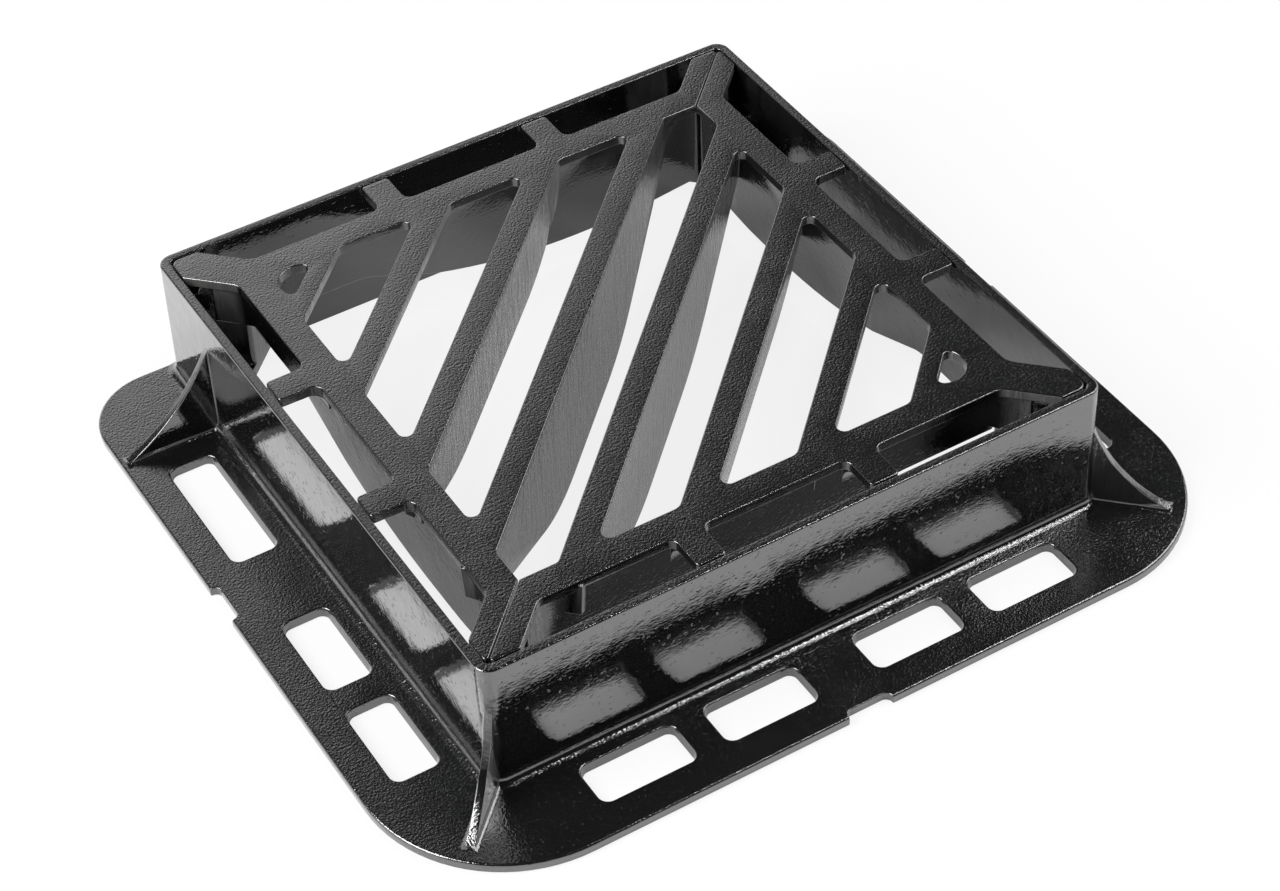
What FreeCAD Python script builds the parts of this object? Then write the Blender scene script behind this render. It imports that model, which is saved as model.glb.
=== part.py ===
import FreeCAD, Part
import math
import os

from FreeCAD import Vector

# Cast iron gully top. A square frame with a flange on three sides carries two loose
# triangular grates. They meet along one diagonal of the opening and are the same casting,
# one of them turned half round. X runs along the kerb, +Y points at the kerb and Z is up.
# Everything is built about the middle of the opening and then moved, so that the origin is
# the middle of the flange's rectangle, on its underside.
#
# Two distances place the grates: w is measured square to the diagonal joint and s along it,
# both from the middle of the opening.

# Driving dimensions of the frame's wall and rim, in millimetres
depth = 100.0
opening = 427.2
opening_corner = 4.0
wall = 6.5
wall_draft = 1.2
wall_corner = 10.0
rim_round = 1.4

# Flange, its slots for mortar and the notch in the middle of each wide side
flange = 6.5
flange_reach = 70.5
kerb_reach = 4.2
front_corner = 98.0
kerb_corner = 46.5
flange_round = 1.8
foot_fillet = 7.5
slot_width = 32.5
slot_length = 66.5
slot_spacing = 19.5
slot_corner = 7.0
slot_draft = 1.7
slot_edge = 22.3
front_gap = 40.8
side_gap = 36.0
long_slot = 101.5
long_slot_start = 27.0
notch_width = 31.0
notch_depth = 5.5
notch_corner = 4.5

# Ribs outside the wall
rib_foot = 6.0
rib_crest = 4.5
rib_hollow = 7.8
rib_fillet = 3.0
corner_rib = 58.5
corner_rib_toe = 9.0
side_rib = 69.0
side_rib_toe = 3.0
side_rib_place = 150.0

# Seats in the corners of the opening
ledge = 9.0
ledge_top = 30.0
ledge_line = 246.0
ledge_corner = 12.0
pillar_width = 24.0
pillar_top = 65.0
pillar_corner = 3.0

# Clearances of the grates in the frame, against each other and beside the pillars
grate_gap = 1.0
joint_gap = 0.8
seat_clearance = 1.5

# Plate of a grate: a border, bars parallel to the joint and the slots between them.
# At least corner_plate is left beyond the last slot.
plate = 7.0
channel = 28.3
border = 20.5
joint_slot = 37.8
bar = 18.6
bar_slot = 40.5
slot_sharp_corner = 5.0
slot_blunt_corner = 9.0
corner_plate = 30.0
hole_width = 31.0
hole_edge = 13.0
hole_corner = 4.0

# Stubs and arms that reach from the border to the wall
stub = 20.0
stub_pitch = 123.0
stub_root = 6.0
stub_nose = 2.5
stub_arch = 18.0
stub_arch_step = 1.0
corner_arm = 27.0
corner_arm_root = 12.0
corner_arm_nose = 6.0
corner_arm_foot = 16.0
joint_arm = 15.5
joint_arm_root = 10.0
joint_arm_foot = 24.0
joint_arm_nose = 2.0

# Webs under the border
border_web = 9.0
border_web_foot = 7.0
border_shallow = 45.0
border_shallow_length = 90.0
border_shallow_bend = 40.0
border_fall_length = 110.0
border_fall_bend = 420.0
border_low = 23.5
border_end_length = 55.0
border_end_bend = 200.0

# Webs under the bars
bar_edge = 0.6
joint_bar_foot = 12.2
joint_bar_low = 4.0
joint_bar_knee = 82.0
second_bar_edge = 1.6
second_bar_web = 13.4
second_bar_draft = 0.8
second_bar_foot = 8.0
second_bar_low = 43.0
second_bar_knee = 107.0
outer_bar_web = 9.0
outer_bar_foot = 7.0
outer_bar_depth = 13.0
belly_bend = 165.0
belly_rise = 25.0

# Derived sizes
ROOT2 = math.sqrt(2.0)
inside = opening / 2
outside = inside + wall
flange_side = outside + flange_reach
flange_kerb = outside + kerb_reach
kerb_shift = (flange_side - flange_kerb) / 2
reach = inside - grate_gap
border_out = inside - channel
border_in = border_out - border
border_line = (border_out + border_in) / 2
plate_low = depth - plate
plate_core = depth - plate / 2
split = joint_gap / 2
bar_start = joint_slot / 2
bar_pitch = bar + bar_slot
slot_count = int((border_in * ROOT2 - bar_start - corner_plate) / bar_pitch)
bar_places = [bar_start + n * bar_pitch for n in range(slot_count + 1)]

# How far a cutting solid runs past what it cuts, and a length beyond the whole part
over = 1.0
beyond = 2 * opening
tiny = 1e-4


def ws(w, s, radius=0.0):
    """Plan corner (x, y, radius) from the distances w and s."""
    return ((w + s) / ROOT2, (s - w) / ROOT2, radius)


def lines_through(points):
    """Straight edges from each point to the next."""
    return [Part.makeLine(a, b) for a, b in zip(points, points[1:])]


def rounded_wire(corners):
    """Closed wire in the XY plane through corners (x, y) or (x, y, radius)."""
    ends = []
    for n, (x, y, *radius) in enumerate(corners):
        here = Vector(x, y, 0)
        if not any(radius):
            ends.append((here, here, here))
            continue
        before = (Vector(*corners[n - 1][:2], 0) - here).normalize()
        after = (Vector(*corners[(n + 1) % len(corners)][:2], 0) - here).normalize()
        half = before.getAngle(after) / 2
        back = radius[0] / math.tan(half)
        middle = (before + after).normalize()
        bulge = here + middle * (radius[0] / math.sin(half) - radius[0])
        ends.append((here + before * back, bulge, here + after * back))
    edges = []
    for n, (start, bulge, end) in enumerate(ends):
        following = ends[(n + 1) % len(ends)][0]
        if (start - end).Length > tiny:
            edges.append(Part.Arc(start, bulge, end).toShape())
        if (following - end).Length > tiny:
            edges.append(Part.makeLine(end, following))
    return Part.Wire(edges)


def upright(corners, low, high):
    """Solid on a plan outline, from one height to another."""
    face = Part.Face(rounded_wire(corners))
    face.translate(Vector(0, 0, low))
    return face.extrude(Vector(0, 0, high - low))


def along_y(corners, low, high):
    """Solid on an outline of (x, z) corners, running along Y."""
    face = Part.Face(rounded_wire(corners))
    face.rotate(Vector(0, 0, 0), Vector(1, 0, 0), 90)
    face.translate(Vector(0, low, 0))
    return face.extrude(Vector(0, high - low, 0))


def along_x(corners, low, high):
    """Solid on an outline of (y, z) corners, running along X."""
    return turned(along_y(corners, -high, -low), 90)


def turned(shape, angle):
    """Copy turned about the middle of the opening."""
    copy = shape.copy()
    copy.rotate(Vector(0, 0, 0), Vector(0, 0, 1), angle)
    return copy


def mirrored(shape):
    """Copy mirrored to the other side of X = 0."""
    return shape.mirror(Vector(0, 0, 0), Vector(1, 0, 0))


def other_leg(shape):
    """Copy of something on one leg of a grate, mirrored to the leg beyond s = 0."""
    return shape.mirror(Vector(0, 0, 0), Vector(1, 1, 0))


def rectangle(x0, x1, y0, y1, radius=0.0):
    return [(x0, y0, radius), (x1, y0, radius), (x1, y1, radius), (x0, y1, radius)]


def square(half, radius):
    return rectangle(-half, half, -half, half, radius)


# The frame
def flange_outline(kerb):
    """Outline of the flange, up to a line at the kerb."""
    return [(-flange_side, -flange_side, front_corner), (flange_side, -flange_side, front_corner),
            (flange_side, kerb, kerb_corner), (-flange_side, kerb, kerb_corner)]


def wall_block():
    """Outer form of the wall, a little wider at its foot."""
    foot = rounded_wire(square(outside + wall_draft, wall_corner + wall_draft))
    rim = rounded_wire(square(outside, wall_corner))
    rim.translate(Vector(0, 0, depth))
    return Part.makeLoft([foot, rim], True, True)


def level_edges(shape, height, nearest, farthest):
    """Edges at one height whose middle lies between two distances from the Z axis's planes."""
    found = []
    for edge in shape.Edges:
        box = edge.BoundBox
        distance = max(abs(box.Center.x), abs(box.Center.y))
        if abs(box.ZMin - height) < tiny and abs(box.ZMax - height) < tiny:
            if nearest < distance < farthest:
                found.append(edge)
    return found


def rounded_block():
    """Flange and wall in one, with the fillet between them and the rounded rim and flange. The
    edge at the kerb is so near the wall that it trims the fillet."""
    fillet_edge = outside + wall_draft + foot_fillet
    kerb_line = max(flange_kerb, fillet_edge + over)
    body = upright(flange_outline(kerb_line), 0, flange).fuse(wall_block()).removeSplitter()
    body = body.makeFillet(foot_fillet, level_edges(body, flange, 0, fillet_edge))
    body = body.makeFillet(rim_round, level_edges(body, depth, 0, beyond))
    body = body.common(upright(flange_outline(flange_kerb), -over, depth + over))
    return body.makeFillet(flange_round, level_edges(body, flange, flange_kerb - over, beyond))


def flange_slot(x0, x1, y0, y1):
    """Slot through the flange, narrower on the underside."""
    sections = []
    for height in (-over, flange + over):
        inset = slot_draft * (1 - height / flange)
        section = rounded_wire(rectangle(x0 + inset, x1 - inset, y0 + inset, y1 - inset,
                                         slot_corner - inset))
        section.translate(Vector(0, 0, height))
        sections.append(section)
    return Part.makeLoft(sections, True, True)


def front_slots():
    """Slots of the front flange, two on each side of its middle."""
    low = slot_edge - flange_side
    slots = []
    for start in (front_gap / 2, front_gap / 2 + slot_length + slot_spacing):
        end = start + slot_length
        slots.append(flange_slot(start, end, low, low + slot_width))
        slots.append(flange_slot(-end, -start, low, low + slot_width))
    return slots


def side_slots():
    """Slots of the right flange: two in front of its middle and a long one behind it."""
    high = flange_side - slot_edge
    second = side_gap + slot_length + slot_spacing
    spans = [(-side_gap - slot_length, -side_gap), (-second - slot_length, -second),
             (long_slot_start, long_slot_start + long_slot)]
    return [flange_slot(high - slot_width, high, start, end) for start, end in spans]


def notch():
    """Shallow notch in the middle of the right flange's edge."""
    half = notch_width / 2
    outline = rectangle(flange_side - notch_depth, flange_side + notch_depth, -half, half,
                        notch_corner)
    return upright(outline, -over, flange + over)


def rib(start, top, end):
    """Rib along +X with a hollow top edge that falls from the wall to the flange. It is
    thinner at its crest and has a rounded foot on the flange."""
    length = math.hypot(end - start, top - flange)
    hollow = Vector(-(top - flange), 0, -(end - start)) * (rib_hollow / length)
    middle = Vector((start + end) / 2, 0, (top + flange) / 2) + hollow
    root = start - wall
    crest = Part.Arc(Vector(start, 0, top), middle, Vector(end, 0, flange)).toShape()
    others = [Vector(end, 0, flange), Vector(end, 0, flange / 2), Vector(root, 0, flange / 2),
              Vector(root, 0, top), Vector(start, 0, top)]
    side = Part.Face(Part.Wire([crest] + lines_through(others)))
    side.translate(Vector(0, -rib_foot, 0))
    half = rib_foot / 2
    wide = half + rib_fillet
    section = [(-wide, flange / 2), (wide, flange / 2), (wide, flange), (half, flange, rib_fillet),
               (rib_crest / 2, top), (-rib_crest / 2, top), (-half, flange, rib_fillet),
               (-wide, flange)]
    return side.extrude(Vector(0, 2 * rib_foot, 0)).common(along_x(section, root, end))


def ribs():
    """Ribs across the two front corners and near the kerb on each side."""
    wall_diagonal = outside * ROOT2 - wall_corner * (ROOT2 - 1)
    flange_diagonal = flange_side * ROOT2 - front_corner * (ROOT2 - 1)
    corner = rib(wall_diagonal, flange + corner_rib, flange_diagonal - corner_rib_toe)
    side = rib(outside, flange + side_rib, flange_side - side_rib_toe)
    side.translate(Vector(0, side_rib_place, 0))
    return [turned(corner, -45), turned(corner, -135), side, mirrored(side)]


def ledges():
    """Triangular ledges across the four corners of the opening."""
    near = ledge_line * ROOT2 - inside
    throat = []
    for x, y in ((1, 0), (0, 1), (-1, 0), (0, -1)):
        throat.append((x * inside + y * near, y * inside - x * near, ledge_corner))
        throat.append((x * inside - y * near, y * inside + x * near, ledge_corner))
    low = ledge_top - ledge
    block = upright(square(inside + wall / 2, opening_corner), low, ledge_top)
    return block.cut(upright(throat, low - over, ledge_top + over))


def pillar():
    """Seat for a grate's corner, on the ledge in the right corner of the opening."""
    half = pillar_width / 2
    end = (inside + wall / 2) * ROOT2 - half
    outline = [ws(ledge_line, -half, pillar_corner), ws(end, -half), ws(end, half),
               ws(ledge_line, half, pillar_corner)]
    return upright(outline, ledge_top - ledge, pillar_top)


def frame():
    body = rounded_block().fuse(ribs()).removeSplitter()
    body = body.cut(upright(square(inside, opening_corner), -over, depth + over))
    body = body.fuse([ledges(), pillar(), turned(pillar(), 180)])
    right = side_slots() + [notch()]
    left = [mirrored(cutter) for cutter in right]
    return body.cut(right + left + front_slots() + [turned(notch(), -90)]).removeSplitter()


# The grates
def grate_outline():
    """Outline of the grate beyond the joint on the +w side. One leg of the border is listed,
    from the right-angled corner round to the joint, and the other is its mirror image."""
    corner = corner_arm / 2 * ROOT2
    joint = joint_arm * ROOT2
    gap = split * ROOT2
    leg = [(reach, corner - reach, stub_nose), (border_out, corner - border_out, corner_arm_root)]
    for middle in (-stub_pitch / 2, stub_pitch / 2):
        low = middle - stub / 2
        high = middle + stub / 2
        leg += [(border_out, low, stub_root), (reach, low, stub_nose),
                (reach, high, stub_nose), (border_out, high, stub_root)]
    leg += [(border_out, border_out - joint, joint_arm_root), (reach, reach - joint, stub_nose),
            (reach, reach - gap, joint_arm_nose), (border_in, border_in - gap, 0.0),
            (border_in, border_in - bar_start * ROOT2, slot_sharp_corner)]
    other = [(-y, -x, radius) for x, y, radius in reversed(leg)]
    return [(reach, -reach, corner_arm_nose)] + leg + other


def bar_slots():
    """Slots between the bars, which end on the inside of the border."""
    cutters = []
    for place, following in zip(bar_places, bar_places[1:]):
        near = place + bar
        near_end = border_in * ROOT2 - near
        far_end = border_in * ROOT2 - following
        outline = [ws(near, -near_end, slot_sharp_corner), ws(near, near_end, slot_sharp_corner),
                   ws(following, far_end, slot_blunt_corner),
                   ws(following, -far_end, slot_blunt_corner)]
        cutters.append(upright(outline, plate_low - over, depth + over))
    return cutters


def lifting_hole():
    """D-shaped hole through the corner plate, its flat side parallel to the bars."""
    near = bar_places[-1] + hole_edge
    low = plate_low - over
    high = depth + over
    disc = Part.makeCylinder(hole_width / 2, high - low, Vector(near, 0, low))
    hole = disc.common(upright(rectangle(near, beyond, -beyond, beyond), low, high))
    corners = [edge for edge in hole.Edges
               if edge.BoundBox.ZLength > plate and abs(edge.BoundBox.Center.x - near) < tiny
               and abs(edge.BoundBox.Center.y) > hole_corner]
    return turned(hole.makeFillet(hole_corner, corners), -45)


def bar_web(low, section, knee=None):
    """Web under one bar, from a section of w at the plate and at its foot. With a knee it has
    a belly: level in the middle, and past the knee it rises to both ends."""
    plate_near, plate_far, foot_near, foot_far = section
    half = border_line * ROOT2 - plate_near
    web = along_y([(plate_near, plate_core), (plate_far, plate_core), (foot_far, low),
                   (foot_near, low)], -half, half)
    if knee:
        tip = low + (half - knee) * math.tan(math.radians(belly_rise))
        belly = [(-half, tip), (-knee, low, belly_bend), (knee, low, belly_bend), (half, tip),
                 (half, plate_core), (-half, plate_core)]
        web = web.common(along_x(belly, 0, beyond))
    return turned(web, -45)


def centred(middle, top, foot):
    """Section of a web under the middle of its bar."""
    return (middle - top / 2, middle + top / 2, middle - foot / 2, middle + foot / 2)


def bar_webs():
    """Deep web beside the joint, a shallower one under the second bar, ribs under the rest."""
    near = bar_start + bar_edge
    webs = [bar_web(joint_bar_low, (near, bar_start + bar - bar_edge, near, near + joint_bar_foot),
                    joint_bar_knee)]
    near = bar_places[1] + second_bar_edge
    foot = near + second_bar_draft
    webs.append(bar_web(second_bar_low, (near, near + second_bar_web, foot, foot + second_bar_foot),
                        second_bar_knee))
    for place in bar_places[2:-1]:
        outer = centred(place + bar / 2, outer_bar_web, outer_bar_foot)
        webs.append(bar_web(plate_low - outer_bar_depth, outer))
    return webs


def border_leg_web():
    """Web under one leg of the border. It is shallow at the right-angled corner, falls in a long
    curve below the height of the ledge and comes up again to pass over the ledge's edge."""
    half = border_web / 2
    half_foot = border_web_foot / 2
    end = border_line + half
    shallow = depth - border_shallow
    bend = border_shallow_length - border_out
    seat = ledge_line * ROOT2 - end - seat_clearance
    side = [(-end, shallow), (bend, shallow, border_shallow_bend),
            (bend + border_fall_length, border_low, border_fall_bend),
            (seat - border_end_length, border_low, border_end_bend), (seat, ledge_top),
            (end, ledge_top), (end, plate_core), (-end, plate_core)]
    web = along_y([(border_line - half, plate_core), (end, plate_core),
                   (border_line + half_foot, border_low), (border_line - half_foot, border_low)],
                  -end, end)
    beside_joint = upright([ws(split, -beyond), ws(beyond, -beyond), ws(beyond, beyond),
                            ws(split, beyond)], 0, depth)
    return web.common(along_x(side, 0, beyond)).common(beside_joint)


def corner_foot():
    """Web under the corner arm, which stands on the pillar."""
    half = pillar_width / 2
    start = border_line * ROOT2 - border_web
    end = (border_line + border_web / 2) * ROOT2 + corner_arm_foot
    outline = [ws(start, -half), ws(end, -half, pillar_corner), ws(end, half, pillar_corner),
               ws(start, half)]
    return upright(outline, pillar_top, plate_core)


def joint_foot():
    """Web under the arm beside the joint, which stands on the ledge."""
    near = split + bar_edge
    far = joint_arm - bar_edge
    start = border_line * ROOT2 - border_web
    end = ledge_line + joint_arm_foot
    outline = [ws(near, start), ws(far, start), ws(far, end, pillar_corner), ws(near, end)]
    return upright(outline, ledge_top, plate_core)


def stub_brackets():
    """Hollow curve from the underside of each stub of one leg down to the border's web."""
    face = border_line + border_web_foot / 2
    root = border_line + border_web / 2
    end = root + stub_arch
    low = plate_low - stub_arch
    side = [(face, low), (root, low), (root, plate_low, stub_arch), (end, plate_low),
            (end, plate_core), (face, plate_core)]
    half = stub / 2 - stub_arch_step
    return [along_y(side, middle - half, middle + half)
            for middle in (-stub_pitch / 2, stub_pitch / 2)]


def pillar_relief():
    """Room for the pillar below the corner foot."""
    half = pillar_width / 2 + seat_clearance
    near = ledge_line - seat_clearance
    return upright([ws(near, -half), ws(beyond, -half), ws(beyond, half), ws(near, half)],
                   0, pillar_top)


def grate():
    """The grate whose right-angled corner is at +X, -Y."""
    body = upright(grate_outline(), plate_low, depth).cut(bar_slots() + [lifting_hole()])
    leg = [border_leg_web(), joint_foot()] + stub_brackets()
    legs = leg + [other_leg(piece) for piece in leg]
    return body.fuse(legs + bar_webs() + [corner_foot()]).cut(pillar_relief()).removeSplitter()


def save(shape, name):
    """Write one casting, moved so that the origin is the middle of the flange's rectangle."""
    copy = shape.copy()
    copy.translate(Vector(0, kerb_shift, 0))
    copy.exportStep(os.path.join("parts", name + ".step"))


os.makedirs("parts", exist_ok=True)
right_grate = grate()
save(frame(), "frame")
save(right_grate, "right_grate")
save(turned(right_grate, 180), "left_grate")
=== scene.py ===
import math

import bmesh
import bpy
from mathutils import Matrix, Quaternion, Vector
from mathutils.bvhtree import BVHTree


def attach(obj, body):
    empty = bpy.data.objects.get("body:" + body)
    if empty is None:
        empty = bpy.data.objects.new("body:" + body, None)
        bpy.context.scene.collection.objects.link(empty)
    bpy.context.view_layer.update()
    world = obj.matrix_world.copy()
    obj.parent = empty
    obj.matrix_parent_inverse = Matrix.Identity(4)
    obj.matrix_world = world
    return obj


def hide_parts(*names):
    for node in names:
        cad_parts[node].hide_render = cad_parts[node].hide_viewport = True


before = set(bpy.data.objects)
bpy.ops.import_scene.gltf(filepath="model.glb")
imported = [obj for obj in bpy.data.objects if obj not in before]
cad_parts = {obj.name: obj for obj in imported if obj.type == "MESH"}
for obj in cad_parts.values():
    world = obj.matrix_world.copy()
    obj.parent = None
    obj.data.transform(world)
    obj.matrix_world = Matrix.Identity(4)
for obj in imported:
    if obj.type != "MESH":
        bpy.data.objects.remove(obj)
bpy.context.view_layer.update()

# Lengths are in metres. Azimuths are counted from the -Y side towards +X, and they and the
# elevations are in degrees.

# Camera: where it looks, from where and how far away, its roll in degrees and its lens in
# millimetres
CAMERA_AIM = Vector((0.0063, 0.0189, 0.0))
CAMERA_AZIMUTH = -29.69
CAMERA_ELEVATION = 43.22
CAMERA_DISTANCE = 1.9714
CAMERA_ROLL = -2.49
CAMERA_LENS = 84.44
CAMERA_REACH = 100

# Floor: its width, how far it lies below the flange, its colour under the lamps, and the share of
# its own white that the camera and reflections see
FLOOR_SIZE = 12.0
FLOOR_GAP = 0.0002
FLOOR_COLOUR = (0.9, 0.9, 0.9, 1)
FLOOR_SEEN = 0.85
FLOOR_MIRRORED = 0.25

# Surroundings: white up to the first elevation and dark past the second, and a round white panel
# with its azimuth and elevation, full up to one angle from its middle and gone at the next, along
# a curve of this power
SKY_FADE = (5, 25)
SKY_LOW = 0.9
SKY_HIGH = 0.02
PANEL_PLACE = (175, 20)
PANEL_FADE = (17, 36)
PANEL_CURVE = 2.0
PANEL_LEVEL = 1.15
WHITE = (1, 1, 1, 1)

# Lamps: azimuth, elevation, width and power in watts of each
LAMP_DISTANCE = 2.6
LAMPS = {
    "key": (55, 42, 0.4, 3.4),
    "rim": (60, 62, 0.3, 8),
    "left": (-95, 42, 1.6, 78),
    "right": (85, 42, 1.6, 27),
}

# Rounding of the cast edges
EDGE_ROUND = 0.0008
EDGE_SEGMENTS = 2
CREASE_ANGLE = math.radians(55)
NARROW_WEIGHT = 0.3
NORMALS_WEIGHT = 80
WELD_DISTANCE = 0.00002
# A crease has room for its full rounding if each face still runs on this far from it
PROBE = 0.0016
PROBE_SLACK = 0.00006
PROBE_COSINE = 0.97

# Colours of the paint, of light specks on faces that look up, which are dust and painted glints,
# and of the iron below it, which is also painted sheen, and the most that shows of the iron
BLACK = (0.006, 0.006, 0.0062, 1)
DUST_AND_GLINT = (0.035, 0.035, 0.034, 1)
BARE_IRON_SHEEN = (0.45, 0.45, 0.44, 1)
BARE_SHEEN_SHARE = 0.42

# Paint of the frame and of the grates: how deep its bumps are, the roughness and the ripples of
# its upright faces, and whether grey iron streaks on its webs show, as a thin coat and painted
# sheen
FRAME_PAINT = {"depth": 0.00025, "side_roughness": 0.055, "side_ripple": 0.36, "thin_coat_sheen": False}
GRATE_PAINT = {"depth": 0.00024, "side_roughness": 0.14, "side_ripple": 0.9, "thin_coat_sheen": True}
FLAT_ROUGHNESS = 0.17
SLANT_ROUGHNESS = 0.3
PAINT_IOR = 2.0
COAT_ROUGHNESS = 0.04
COAT_IOR = 1.65

# Faces count as flat by how far up they look, and as slanting by how far they look between the
# X and Y axes: from nothing at the first number to all at the second
FLAT_RANGE = (0.55, 0.9)
SLANT_RANGE = (0.3, 0.45)

# Noises in the paint: scale, detail and roughness of each
COARSE_GRAIN = (600.0, 1.0, 0.5)
FINE_GRAIN = (1150.0, 1.0, 0.5)
PATCHES = (28.0, 2.0, 0.5)
RIPPLES = (260.0, 2.0, 0.6)
PITS = (260.0, 1.0, 0.5)
WAVES = (34.0, 1.0, 0.5)
SWELLS = (80.0, 1.0, 0.5)
RUNS = (230.0, 2.0, 0.6)
SPECKS = (480.0, 0.0, 0.5)
STREAKS = (90.0, 2.0, 0.6)

# Noises that are finer or longer along Z than across
RIPPLE_SHAPE = (1.0, 1.0, 2.2)
RUN_SHAPE = (1.0, 1.0, 0.22)
STREAK_SHAPE = (1.0, 1.0, 0.3)

# Ranges that noises are turned from, and for two of them into
PATCH_RANGE = (0.2, 0.75, 0.6, 1.0)
PIT_RANGE = (0.66, 0.74)
SPECK_RANGE = (0.74, 0.8)
STREAK_RANGE = (0.3, 0.7, 0.4, 1.0)

# Heights of the bumps beside that of the coarse grain, which is 1
FINE_HEIGHT = 0.55
PIT_DEPTH = 0.25
RUN_HEIGHT = 2.4
SWELL_HEIGHT = 0.8
WAVE_HEIGHT = 0.3

# The foot of the border's web beside the square corner, which stands higher than in the solids
WEB_FOOT = (0.053, 0.056)
WEB_LIFT = 0.0054

# The flange's slots on the right, which lie nearer to the wall than in the solids: the box
# around their edges and the shift
RIGHT_SLOTS = ((0.234, -0.158, 0.0), (0.27, 0.164, 0.0067))
RIGHT_SLOT_SHIFT = -0.0062

# The front wall's outer face, which leans out more towards its foot than in the solids: where it
# lies, its foot, the fillet's end, its top and how far the foot comes out
FRONT_FACE = (-0.1960, -0.1860)
FRONT_FOOT = 0.014
FILLET_END = 0.0065
FRONT_TOP = 0.1
FRONT_LEAN = 0.0018


def toward(azimuth, elevation):
    """Unit vector from the part to something seen at an azimuth and elevation in degrees."""
    a, e = math.radians(azimuth), math.radians(elevation)
    return Vector((math.sin(a) * math.cos(e), -math.cos(a) * math.cos(e), math.sin(e)))


def link(obj):
    bpy.context.scene.collection.objects.link(obj)
    return obj


def make_camera():
    data = bpy.data.cameras.new("camera")
    data.lens = CAMERA_LENS
    data.clip_end = CAMERA_REACH
    camera = link(bpy.data.objects.new("camera", data))
    back = toward(CAMERA_AZIMUTH, CAMERA_ELEVATION)
    camera.location = CAMERA_AIM + back * CAMERA_DISTANCE
    camera.rotation_mode = "QUATERNION"
    roll = Quaternion((0, 0, 1), math.radians(CAMERA_ROLL))
    camera.rotation_quaternion = (-back).to_track_quat("-Z", "Y") @ roll
    bpy.context.scene.camera = camera


class Nodes:
    """Short way to add and wire shader nodes in one tree."""

    def __init__(self, tree):
        self.tree = tree
        tree.nodes.clear()

    def add(self, kind, inputs=None, **settings):
        node = self.tree.nodes.new(kind)
        for name, value in settings.items():
            setattr(node, name, value)
        for name, value in (inputs or {}).items():
            if isinstance(value, bpy.types.NodeSocket):
                self.tree.links.new(value, node.inputs[name])
            else:
                node.inputs[name].default_value = value
        return node

    def math(self, operation, a, b=0.0):
        return self.add("ShaderNodeMath", {0: a, 1: b}, operation=operation).outputs[0]

    def plus(self, a, b):
        return self.math("ADD", a, b)

    def minus(self, a, b):
        return self.math("SUBTRACT", a, b)

    def times(self, a, b):
        return self.math("MULTIPLY", a, b)

    def ramp(self, value, low, high, start=0.0, end=1.0):
        """Value turned from the range low..high into start..end, smoothly."""
        inputs = {"Value": value, "From Min": low, "From Max": high, "To Min": start, "To Max": end}
        node = self.add("ShaderNodeMapRange", inputs, interpolation_type="SMOOTHSTEP")
        return node.outputs["Result"]

    def noise(self, place, scale, detail, rough):
        inputs = {"Vector": place, "Scale": scale, "Detail": detail, "Roughness": rough}
        return self.add("ShaderNodeTexNoise", inputs).outputs["Fac"]

    def shaped(self, place, shape):
        """Place with each axis multiplied: above 1 a noise gets finer along it, below 1 longer."""
        return self.add("ShaderNodeMapping", {"Vector": place, "Scale": shape}).outputs["Vector"]

    def mix(self, factor, a, b):
        inputs = {"Factor": factor, "A": a, "B": b}
        return self.add("ShaderNodeMix", inputs).outputs["Result"]

    def mix_colour(self, factor, a, b):
        node = self.add("ShaderNodeMix", {0: factor, 6: a, 7: b}, data_type="RGBA")
        return node.outputs[2]


def make_floor():
    """A pale floor that keeps the shadow under the part, and shows as white further on."""
    mesh = bpy.data.meshes.new("floor")
    half = FLOOR_SIZE / 2
    corners = [(-half, -half, -FLOOR_GAP), (half, -half, -FLOOR_GAP),
               (half, half, -FLOOR_GAP), (-half, half, -FLOOR_GAP)]
    mesh.from_pydata(corners, [], [(0, 1, 2, 3)])
    floor = link(bpy.data.objects.new("floor", mesh))
    material = bpy.data.materials.new("pale_floor")
    material.use_nodes = True
    n = Nodes(material.node_tree)
    lit = n.add("ShaderNodeBsdfDiffuse", {"Color": FLOOR_COLOUR})
    white = n.add("ShaderNodeEmission", {"Color": WHITE, "Strength": 1.0})
    path = n.add("ShaderNodeLightPath").outputs
    seen = n.math("MAXIMUM", path["Is Camera Ray"], path["Is Transmission Ray"])
    mirrored = n.times(path["Is Glossy Ray"], FLOOR_MIRRORED)
    share = n.math("MAXIMUM", n.times(seen, FLOOR_SEEN), mirrored)
    both = n.add("ShaderNodeMixShader", {"Fac": share, 1: lit.outputs[0], 2: white.outputs[0]})
    n.add("ShaderNodeOutputMaterial", {"Surface": both.outputs[0]})
    mesh.materials.append(material)


def make_world():
    """A white panel behind the kerb side and white low down all round, under a dark ceiling."""
    world = bpy.data.worlds.new("studio")
    bpy.context.scene.world = world
    world.use_nodes = True
    n = Nodes(world.node_tree)
    place = n.add("ShaderNodeTexCoord").outputs["Generated"]
    up = n.add("ShaderNodeSeparateXYZ", {"Vector": place}).outputs["Z"]
    low, high = (math.sin(math.radians(angle)) for angle in SKY_FADE)
    around = n.ramp(up, low, high, SKY_LOW, SKY_HIGH)
    panel = toward(*PANEL_PLACE)
    turn = n.add("ShaderNodeVectorMath", {0: place, 1: panel}, operation="DOT_PRODUCT")
    inner, outer = (math.cos(math.radians(angle)) for angle in PANEL_FADE)
    glow = n.math("POWER", n.ramp(turn.outputs["Value"], outer, inner), PANEL_CURVE)
    level = n.math("MAXIMUM", around, n.times(glow, PANEL_LEVEL))
    path = n.add("ShaderNodeLightPath").outputs
    seen = n.math("MAXIMUM", path["Is Camera Ray"], path["Is Transmission Ray"])
    shown = n.mix(seen, level, 1.0)
    sky = n.add("ShaderNodeBackground", {"Color": WHITE, "Strength": shown})
    n.add("ShaderNodeOutputWorld", {"Surface": sky.outputs[0]})


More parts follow.
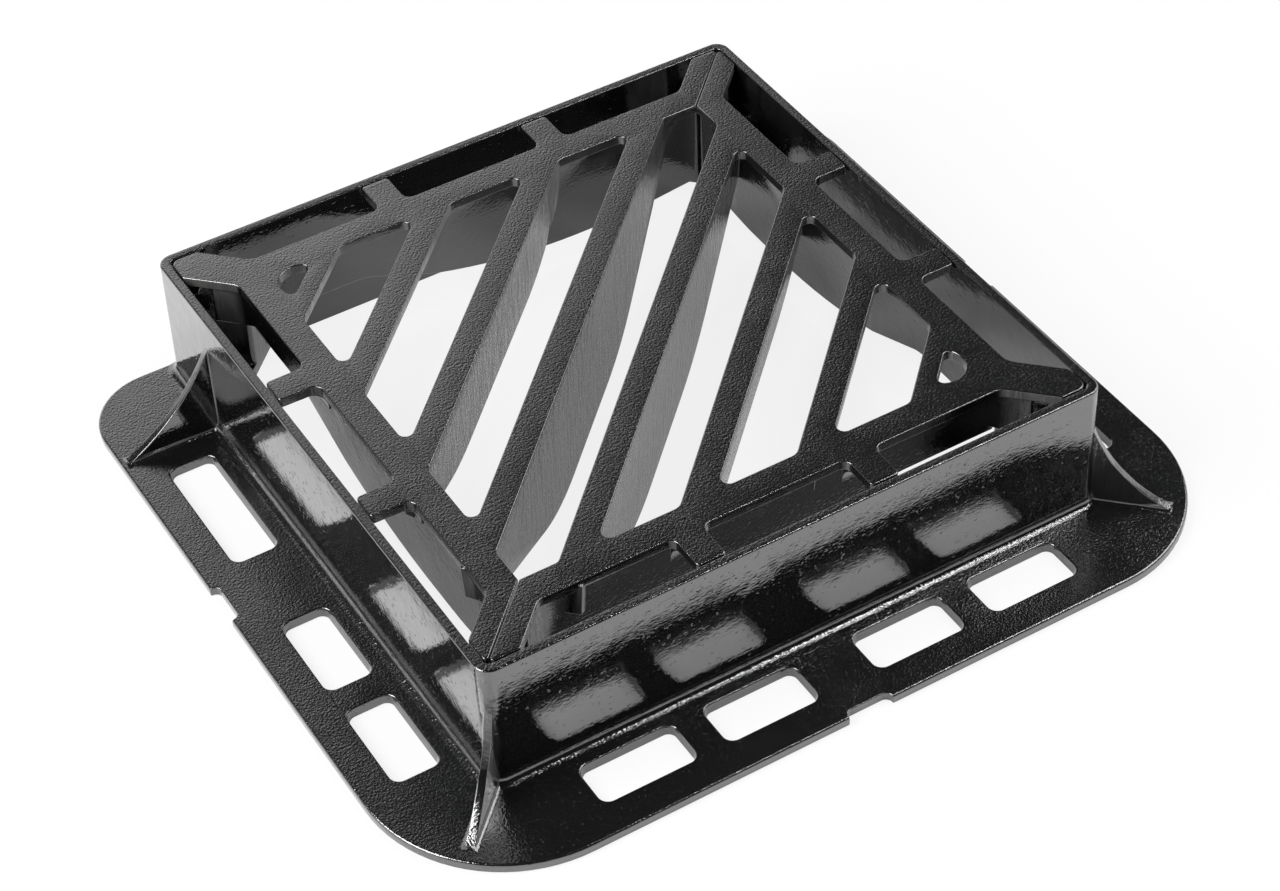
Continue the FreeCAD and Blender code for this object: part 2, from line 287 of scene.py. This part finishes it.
def make_lamp(name, azimuth, elevation, size, power):
    data = bpy.data.lights.new(name, "AREA")
    data.size = size
    data.energy = power
    lamp = link(bpy.data.objects.new(name, data))
    lamp.location = toward(azimuth, elevation) * LAMP_DISTANCE
    lamp.rotation_euler = toward(azimuth, elevation).to_track_quat("Z", "Y").to_euler()


def paint_height(n, place, flat, slant, side_ripple):
    """Sand grain on faces that look up, and ripples, pits, runs and swells on upright ones."""
    coarse = n.noise(place, *COARSE_GRAIN)
    fine = n.noise(place, *FINE_GRAIN)
    patches = n.ramp(n.noise(place, *PATCHES), *PATCH_RANGE)
    ripple = n.noise(n.shaped(place, RIPPLE_SHAPE), *RIPPLES)
    pits = n.ramp(n.noise(place, *PITS), *PIT_RANGE)
    waves = n.noise(place, *WAVES)
    swells = n.noise(place, *SWELLS)
    runs = n.noise(n.shaped(place, RUN_SHAPE), *RUNS)

    grain = n.plus(coarse, n.times(fine, FINE_HEIGHT))
    sand = n.times(n.times(grain, flat), patches)
    dents = n.minus(n.times(ripple, side_ripple), n.times(pits, PIT_DEPTH))
    dents = n.plus(dents, n.times(n.times(runs, slant), RUN_HEIGHT))
    dents = n.plus(dents, n.times(swells, SWELL_HEIGHT))
    coat = n.times(n.minus(1.0, flat), dents)
    return n.plus(n.plus(sand, coat), n.times(waves, WAVE_HEIGHT))


def black_iron(name, depth, side_roughness, side_ripple, thin_coat_sheen):
    """Glossy black paint over sand-cast iron. On the slanting webs, which only the grates have,
    grey iron streaks are partly a thin coat and partly painted sheen for the bright floor they
    mirror."""
    material = bpy.data.materials.new(name)
    material.use_nodes = True
    n = Nodes(material.node_tree)
    place = n.add("ShaderNodeTexCoord").outputs["Object"]
    facing = n.add("ShaderNodeNewGeometry").outputs["Normal"]
    way = n.add("ShaderNodeSeparateXYZ", {"Vector": facing}).outputs
    flat = n.ramp(way["Z"], *FLAT_RANGE)
    slant = n.ramp(n.math("ABSOLUTE", n.times(way["X"], way["Y"])), *SLANT_RANGE)
    height = paint_height(n, place, flat, slant, side_ripple)
    bump = n.add("ShaderNodeBump", {"Height": height, "Strength": 1.0, "Distance": depth})

    rough = n.mix(slant, n.mix(flat, side_roughness, FLAT_ROUGHNESS), SLANT_ROUGHNESS)
    # Light specks on faces that look up: dust, and painted glints in the base colour
    specks = n.times(n.ramp(n.noise(place, *SPECKS), *SPECK_RANGE), flat)
    colour = n.mix_colour(specks, BLACK, DUST_AND_GLINT)
    bare_sheen = 0.0
    # Grey metal streaks on the slanting webs: iron under a thin coat, and painted sheen that stands
    # in for the bright floor these webs mirror
    if thin_coat_sheen:
        streaks = n.ramp(n.noise(n.shaped(place, STREAK_SHAPE), *STREAKS), *STREAK_RANGE)
        bare_sheen = n.times(n.times(slant, streaks), BARE_SHEEN_SHARE)
        colour = n.mix_colour(bare_sheen, colour, BARE_IRON_SHEEN)
    paint = n.add("ShaderNodeBsdfPrincipled", {
        "Base Color": colour,
        "Metallic": bare_sheen,
        "Roughness": rough,
        "IOR": PAINT_IOR,
        "Coat Weight": 1.0,
        "Coat Roughness": COAT_ROUGHNESS,
        "Coat IOR": COAT_IOR,
        "Normal": bump.outputs[0],
        "Coat Normal": bump.outputs[0],
    })
    n.add("ShaderNodeOutputMaterial", {"Surface": paint.outputs[0]})
    return material


def mark_creases(shape):
    """Bevel weight of each crease: full where both faces are wide, small beside narrow ones."""
    tree = BVHTree.FromBMesh(shape)
    weight = shape.edges.layers.float.new("bevel_weight_edge")
    for edge in shape.edges:
        if edge.calc_face_angle() < CREASE_ANGLE:
            continue
        start, end = (corner.co for corner in edge.verts)
        middle = (start + end) / 2
        wide = True
        for face in edge.link_faces:
            inward = face.normal.cross(end - start).normalized()
            if inward.dot(face.calc_center_median() - middle) < 0:
                inward.negate()
            _, normal, _, distance = tree.find_nearest(middle + inward * PROBE)
            wide = wide and distance < PROBE_SLACK and normal.dot(face.normal) > PROBE_COSINE
        edge[weight] = 1.0 if wide else NARROW_WEIGHT


def lift_web_foot(shape):
    for corner in shape.verts:
        if WEB_FOOT[0] < corner.co.z < WEB_FOOT[1]:
            corner.co.z += WEB_LIFT


def shift_right_slots(shape):
    low, high = RIGHT_SLOTS
    for corner in shape.verts:
        if all(low[i] - WELD_DISTANCE <= corner.co[i] <= high[i] for i in range(3)):
            corner.co.x += RIGHT_SLOT_SHIFT


def lean_front_wall(shape):
    """Move the wall's face out, most at its foot and less towards its top and the fillet's end."""
    for corner in shape.verts:
        x, y, z = corner.co
        if FRONT_FACE[0] < y < FRONT_FACE[1] and z > FILLET_END:
            above = (FRONT_TOP - z) / (FRONT_TOP - FRONT_FOOT)
            below = (z - FILLET_END) / (FRONT_FOOT - FILLET_END)
            corner.co.y -= FRONT_LEAN * min(above, below)


def cast_copy(node, material):
    """The same casting with soft edges, in place of its CAD node."""
    shape = bmesh.new()
    shape.from_mesh(node.data)
    bmesh.ops.remove_doubles(shape, verts=shape.verts, dist=WELD_DISTANCE)
    if node.name == "frame":
        shift_right_slots(shape)
        lean_front_wall(shape)
    else:
        lift_web_foot(shape)
    mark_creases(shape)
    mesh = bpy.data.meshes.new(node.name + "_casting")
    shape.to_mesh(mesh)
    shape.free()
    mesh.attributes.remove(mesh.attributes["custom_normal"])
    for polygon in mesh.polygons:
        polygon.use_smooth = True
    mesh.materials.append(material)
    piece = link(bpy.data.objects.new(node.name + "_casting", mesh))
    edges = piece.modifiers.new("edges", "BEVEL")
    edges.width = EDGE_ROUND
    edges.segments = EDGE_SEGMENTS
    edges.limit_method = "WEIGHT"
    edges.use_clamp_overlap = False
    edges.loop_slide = False
    normals = piece.modifiers.new("normals", "WEIGHTED_NORMAL")
    normals.weight = NORMALS_WEIGHT
    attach(piece, "root")
    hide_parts(node.name)


bpy.context.scene.view_settings.view_transform = "Standard"
make_camera()
make_floor()
make_world()
for name, settings in LAMPS.items():
    make_lamp(name, *settings)
frame_paint = black_iron("frame_paint", **FRAME_PAINT)
grate_paint = black_iron("grate_paint", **GRATE_PAINT)
for name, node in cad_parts.items():
    cast_copy(node, frame_paint if name == "frame" else grate_paint)
